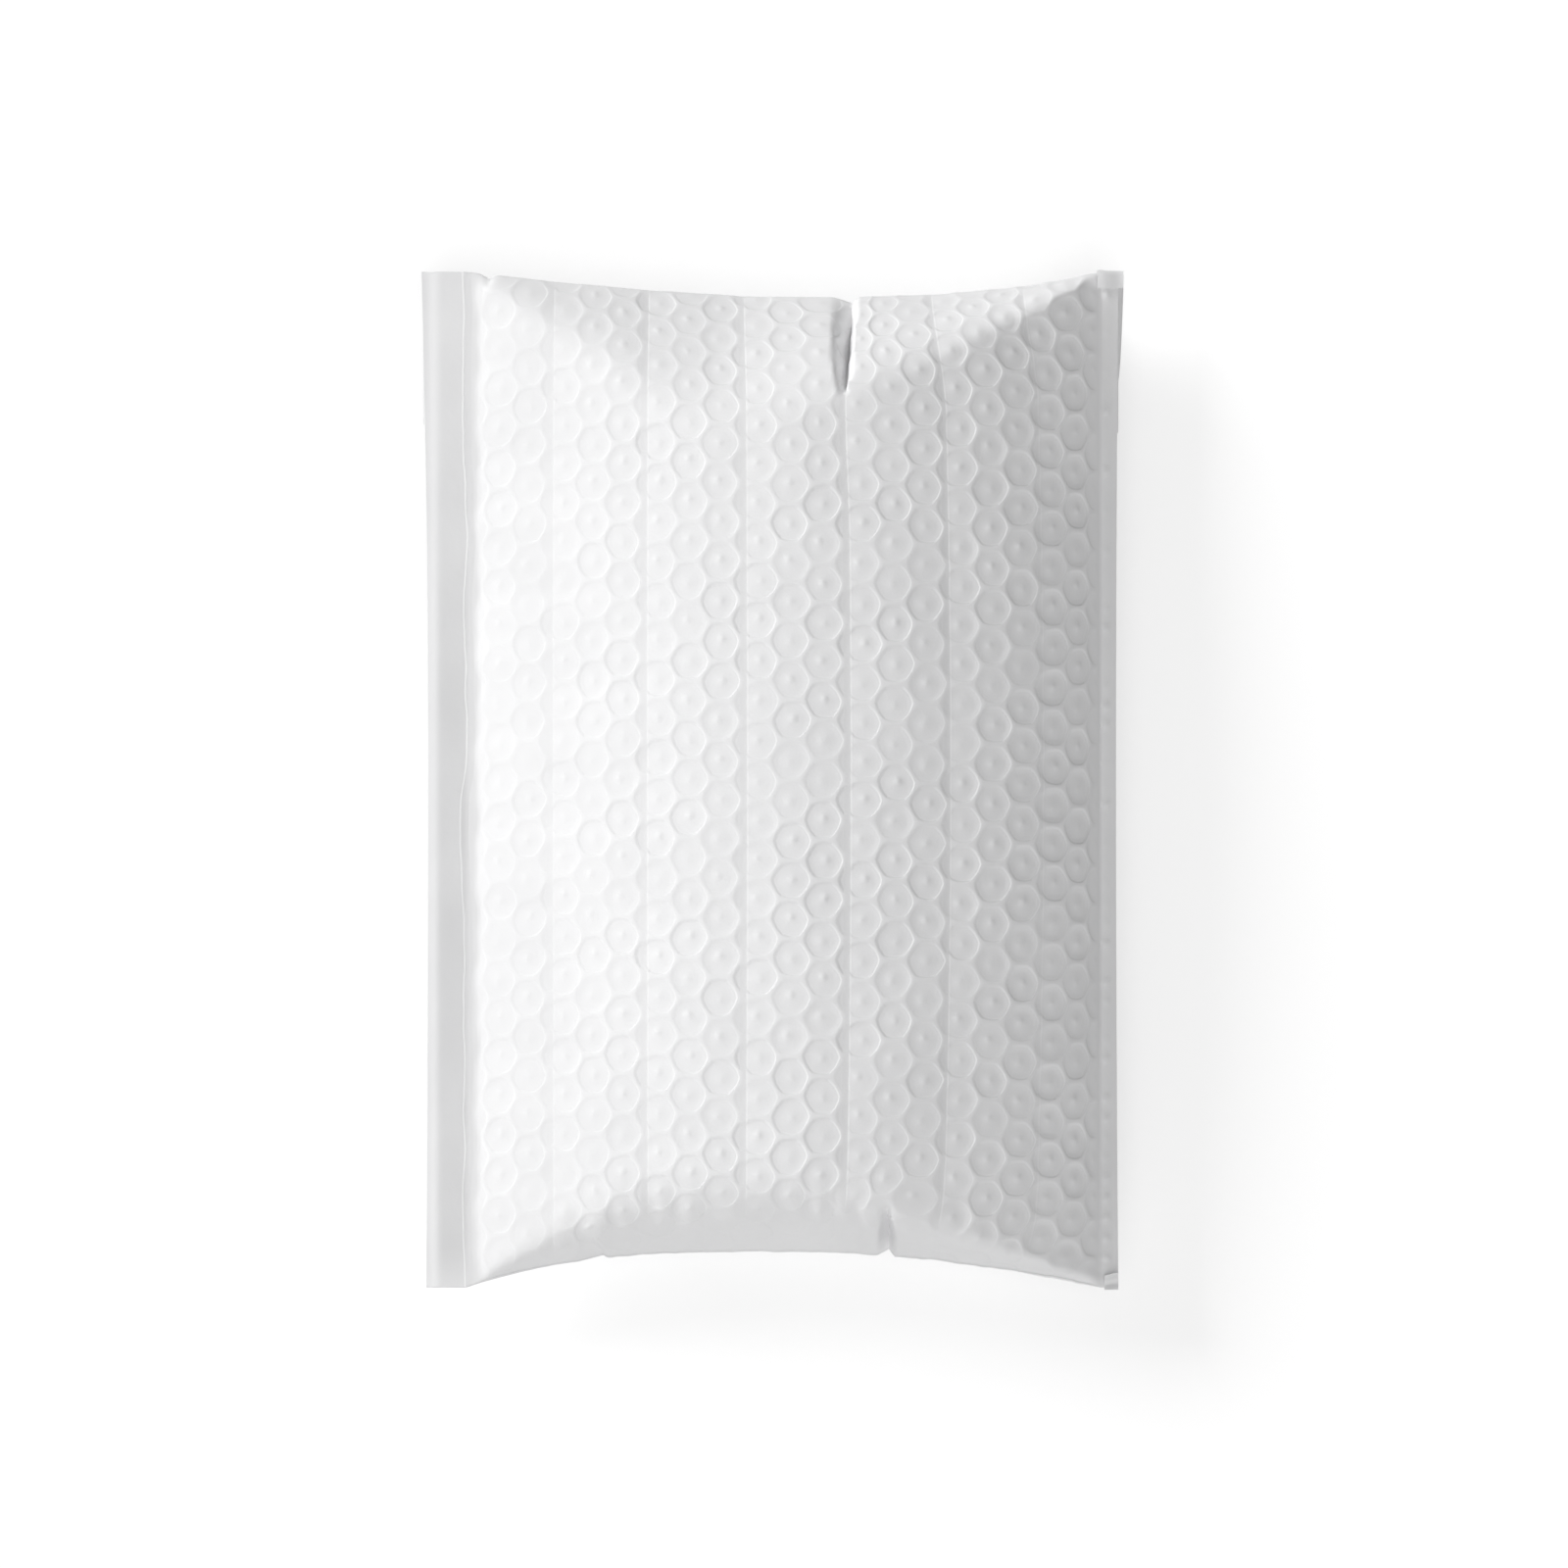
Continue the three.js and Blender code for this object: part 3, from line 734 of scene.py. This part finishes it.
pocket_mesh.materials.append(satin_film)
pocket = bpy.data.objects.new("film_pocket", pocket_mesh)
bpy.context.collection.objects.link(pocket)
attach(pocket, "root")
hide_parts("bubble_bag")

# The closing flap
# The free end of the same film, plain and unlined. It is folded over the top and glued to the back,
# a little askew, so a narrow sliver of it stands out past the right seal.
FLAP_ROWS = 41
FLAP_COLUMNS = 141

# It starts just below the fold, thinned to an edge, and lies a little inside the bag's left side.
FLAP_START = 0.4
FLAP_THINS = 3
FLAP_INSET = 0.4
FLAP_SKEW = 0.05

# The sliver past the right seal narrows to nothing over its length. Both sides sag with the seals'
# rims, and the sliver falls away steeply.
FLAP_OVERHANG = 1.7
OVERHANG_LENGTH = 31
OVERHANG_POWER = 0.6
FLAP_LEFT_SAG = 0.3
FLAP_RIGHT_SAG = 0.9
SLIVER_FALL = 1.6
FLAP_RIPPLE = 0.12
FLAP_WRINKLE = 0.16
SHEET_SHARP_ANGLE = 50


def closed_sheet(outer, inner):
    """Points and faces of a closed thin sheet from two grids: its outer side, inner side and rim.

    The faces are turned round if the volume that they enclose, a sum of tetrahedra, is negative.
    """
    rows, columns = outer.shape[:2]
    count = rows * columns
    grid = np.arange(count).reshape(rows, columns)
    side = np.stack([grid[:-1, :-1], grid[:-1, 1:], grid[1:, 1:], grid[1:, :-1]], axis=2).reshape(-1, 4)
    border = np.concatenate([grid[0, :-1], grid[:-1, -1], grid[-1, :0:-1], grid[:0:-1, 0]])
    next_along = np.roll(border, -1)
    rim = np.stack([border, border + count, next_along + count, next_along], axis=1)
    points = np.concatenate([outer.reshape(-1, 3), inner.reshape(-1, 3)])
    faces = np.concatenate([side, side[:, ::-1] + count, rim])
    first, second, third, fourth = (points[faces[:, corner]] for corner in range(4))
    volume = np.sum(np.cross(second - first, third - first) * first)
    volume = volume + np.sum(np.cross(third - first, fourth - first) * first)
    return points, faces if volume > 0 else faces[:, ::-1]


def film_piece(name, outer, inner, material):
    """A closed sheet of film as an object in the shared frame, smooth with sharp rims."""
    points, faces = closed_sheet(outer, inner)
    mesh = bpy.data.meshes.new(name)
    mesh.from_pydata((points - FRAME_ORIGIN) / 1000, [], faces.tolist())
    mesh.polygons.foreach_set("use_smooth", np.ones(len(mesh.polygons), dtype=bool))
    mesh.set_sharp_from_angle(angle=np.radians(SHEET_SHARP_ANGLE))
    mesh.materials.append(material)
    piece = bpy.data.objects.new(name, mesh)
    bpy.context.collection.objects.link(piece)
    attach(piece, "root")
    return piece


flap_across = np.linspace(0, 1, FLAP_COLUMNS)
flap_skew = 1 + FLAP_SKEW * (flap_across - 0.5)
flap_down = np.linspace(FLAP_START, FLAP_LENGTH, FLAP_ROWS)[:, None] * flap_skew
overhang = FLAP_OVERHANG * np.clip(1 - flap_down / OVERHANG_LENGTH, 0, 1) ** OVERHANG_POWER
flap_left = -left_seal[-1] + FLAP_INSET
flap_right = POCKET_WIDTH + right_seal[-1] + overhang
flap_x = flap_left + (flap_right - flap_left) * flap_across
flap_share = 1 - flap_down / film_sheet(flap_x, np.zeros_like(flap_x))[3]
flap_y, _, flap_back, _, _ = film_sheet(flap_x, flap_share)
flap_sag = FLAP_RIGHT_SAG * right_rim(flap_x) + FLAP_LEFT_SAG * left_rim(flap_x)
flap_sag = flap_sag + SLIVER_FALL * np.clip(flap_x - POCKET_WIDTH - right_seal[-1], 0, None)
flap_body = FLAP_THICKNESS * smooth_step(0, FLAP_THINS, flap_down)
flap_ripple = FLAP_RIPPLE * np.sin(flap_x / 9 + flap_down / 6) * smooth_step(10, 40, flap_down)
flap_inner = np.stack([flap_x, flap_y, -flap_back - FLAP_GAP - flap_sag], axis=2)
flap_outer = np.stack([flap_x, flap_y, -flap_back - FLAP_GAP - flap_sag - flap_body], axis=2)
flap_outer[..., 2] = np.maximum(flap_outer[..., 2] + np.abs(flap_ripple), -SEAL_HEIGHT)

flap_film, tree, _, height, shader = white_film("white_film_flap", FLAP_WRINKLE)
put_bump(tree, height, shader)
flap = film_piece("closing_flap", flap_outer, flap_inner, flap_film)

# The folded corners
# Where the narrow right seal meets the two folds, the film doubles over: a flat roll over the top
# corner, which holds the flap down, and a small curl that stands up at the bottom corner.
CORNER_THICKNESS = 0.35

# From the roll's round top a lip runs down over the front and another over the back. The roll swells
# a little towards the pocket.
ROLL_COLUMNS = 15
TURN_ROWS = 13
LIP_ROWS = 7
ROLL_LEFT = 182.3
ROLL_RIGHT = 190.0
ROLL_TOP = 292.5
ROLL_RADIUS = 1.15
ROLL_SWELL = 0.25
SWELL_END = 186
LIP_LENGTH = 3.6
LIP_WAVE = 0.25
LIP_DIP = 0.25

# The curl runs inwards from the bottom edge, in a wave that fades while it rises to its tip.
CURL_COLUMNS = 11
CURL_ROWS = 17
CURL_LEFT = 184.4
CURL_RIGHT = 188.4
CURL_START = -0.5
CURL_LENGTH = 4.8
CURL_FOOT = 0.85
CURL_WAVE = 0.5
CURL_TIP = 1.3


def swept_strip(x, path_y, path_z, thickness):
    """Outer and inner grids of a strip: a path in y and z carried along x, and offset by a thickness.

    The offset runs along the path's normal, its direction turned by a right angle.
    """
    step_y, step_z = np.gradient(path_y, axis=0), np.gradient(path_z, axis=0)
    length = np.hypot(step_y, step_z)
    outer = np.stack(np.broadcast_arrays(x, path_y, path_z), axis=2)
    inner_y = path_y + thickness * step_z / length
    inner_z = path_z - thickness * step_y / length
    return outer, np.stack(np.broadcast_arrays(x, inner_y, inner_z), axis=2)


roll_x = np.linspace(ROLL_LEFT, ROLL_RIGHT, ROLL_COLUMNS)[None, :]
roll_sag = -RIGHT_RIM_DROP * right_rim(roll_x)
roll_turn = np.radians(np.linspace(90, -90, TURN_ROWS))[:, None]
roll_radius = ROLL_RADIUS + ROLL_SWELL * (1 - smooth_step(ROLL_LEFT, SWELL_END, roll_x))
lip = np.linspace(1, 0, LIP_ROWS + 1)[:-1, None]
lip_y = ROLL_TOP - LIP_LENGTH * lip + LIP_WAVE * np.sin(roll_x)
lip_z = roll_radius - LIP_DIP * lip ** 2
roll_y = np.concatenate([lip_y, ROLL_TOP + roll_radius * np.cos(roll_turn), lip_y[::-1]])
roll_z = roll_sag + np.concatenate([lip_z, roll_radius * np.sin(roll_turn), -lip_z[::-1]])
roll = film_piece("corner_roll", *swept_strip(roll_x, roll_y, roll_z, -CORNER_THICKNESS), flap_film)

curl_x = np.linspace(CURL_LEFT, CURL_RIGHT, CURL_COLUMNS)[None, :]
curl_sag = -RIGHT_RIM_DROP * right_rim(curl_x)
curl_along = np.linspace(0, 1, CURL_ROWS)[:, None]
curl_y = CURL_START + CURL_LENGTH * curl_along * (0.8 + 0.2 * smooth_step(184, 188, curl_x))
curl_ripple = CURL_WAVE * np.cos(9 * curl_along) * (1 - curl_along)
curl_z = curl_sag + CURL_FOOT + curl_ripple + CURL_TIP * curl_along ** 2
curl = film_piece("corner_curl", *swept_strip(curl_x, curl_y, curl_z, CORNER_THICKNESS), flap_film)

# The floor
# A plain white studio sweep under the bag, in metres from here on. It is white to the camera and
# keeps the bag's shadow.
FLOOR_REACH = 6
FLOOR_WHITE = (0.65, 0.65, 0.65, 1)
FLOOR_ROUGHNESS = 0.9
FLOOR_GLOW = 0.52
floor_corners = [
    (-FLOOR_REACH, -FLOOR_REACH, 0),
    (FLOOR_REACH, -FLOOR_REACH, 0),
    (FLOOR_REACH, FLOOR_REACH, 0),
    (-FLOOR_REACH, FLOOR_REACH, 0),
]
floor_mesh = bpy.data.meshes.new("studio_floor")
floor_mesh.from_pydata(floor_corners, [], [(0, 1, 2, 3)])
floor_paint = bpy.data.materials.new("studio_white")
floor_paint.use_nodes = True
floor_tree = floor_paint.node_tree
floor_shader = floor_tree.nodes["Principled BSDF"]
floor_shader.inputs["Base Color"].default_value = FLOOR_WHITE
floor_shader.inputs["Roughness"].default_value = FLOOR_ROUGHNESS
floor_shader.inputs["Specular IOR Level"].default_value = 0.0
floor_shader.inputs["Emission Color"].default_value = (1, 1, 1, 1)
seen_by = floor_tree.nodes.new("ShaderNodeLightPath").outputs
to_eye = math(floor_tree, "ADD", seen_by["Is Camera Ray"], seen_by["Is Glossy Ray"])
to_eye = math(floor_tree, "ADD", to_eye, seen_by["Is Transmission Ray"])
floor_glow = math(floor_tree, "MULTIPLY", to_eye, FLOOR_GLOW)
floor_tree.links.new(floor_glow, floor_shader.inputs["Emission Strength"])
floor_mesh.materials.append(floor_paint)
floor = bpy.data.objects.new("studio_floor", floor_mesh)
bpy.context.collection.objects.link(floor)

# The light
# A soft main lamp low on the upper left, a broad fill from overhead, another from beyond the bag's
# bottom edge and a very weak one from its right, in an even pale room.
LAMPS = [
    dict(name="main_lamp", comes_from=(-0.78, 0.53, 0.32), strength=0.87, spread=25),
    dict(name="overhead_fill", comes_from=(0.1, -0.3, 0.95), strength=0.3, spread=60),
    dict(name="lower_fill", comes_from=(-0.22, -0.91, 0.35), strength=0.3, spread=55),
    dict(name="right_fill", comes_from=(0.93, -0.25, 0.28), strength=0.05, spread=40),
]
ROOM_LIGHT = 0.16

# A strength of 1 lights a white sheet that faces the lamp to full white.
for lamp in LAMPS:
    lamp_data = bpy.data.lights.new(lamp["name"], "SUN")
    lamp_data.energy = lamp["strength"] * np.pi
    lamp_data.angle = np.radians(lamp["spread"])
    lamp_object = bpy.data.objects.new(lamp["name"], lamp_data)
    lamp_object.rotation_mode = "QUATERNION"
    lamp_object.rotation_quaternion = Vector(lamp["comes_from"]).to_track_quat("Z", "Y")
    bpy.context.collection.objects.link(lamp_object)

world = bpy.data.worlds.new("pale_room")
world.use_nodes = True
room = world.node_tree.nodes["Background"]
room.inputs["Color"].default_value = (1, 1, 1, 1)
room.inputs["Strength"].default_value = ROOM_LIGHT
bpy.context.scene.world = world
bpy.context.scene.view_settings.view_transform = "Standard"

# The camera
# It looks straight down on the bag, as the photograph looks straight at its front. The view's width
# is measured in the plane of the seals.
CAMERA_PLACE = (0.0024, -0.00125, 3.0)
VIEW_WIDTH = 0.4533
SENSOR_WIDTH = 36
FAR_END = 20
camera_data = bpy.data.cameras.new("camera")
camera_data.sensor_width = SENSOR_WIDTH
camera_data.lens = SENSOR_WIDTH * (CAMERA_PLACE[2] - SEAL_HEIGHT / 1000) / VIEW_WIDTH
camera_data.clip_end = FAR_END
camera = bpy.data.objects.new("camera", camera_data)
camera.location = CAMERA_PLACE
bpy.context.collection.objects.link(camera)
bpy.context.scene.camera = camera
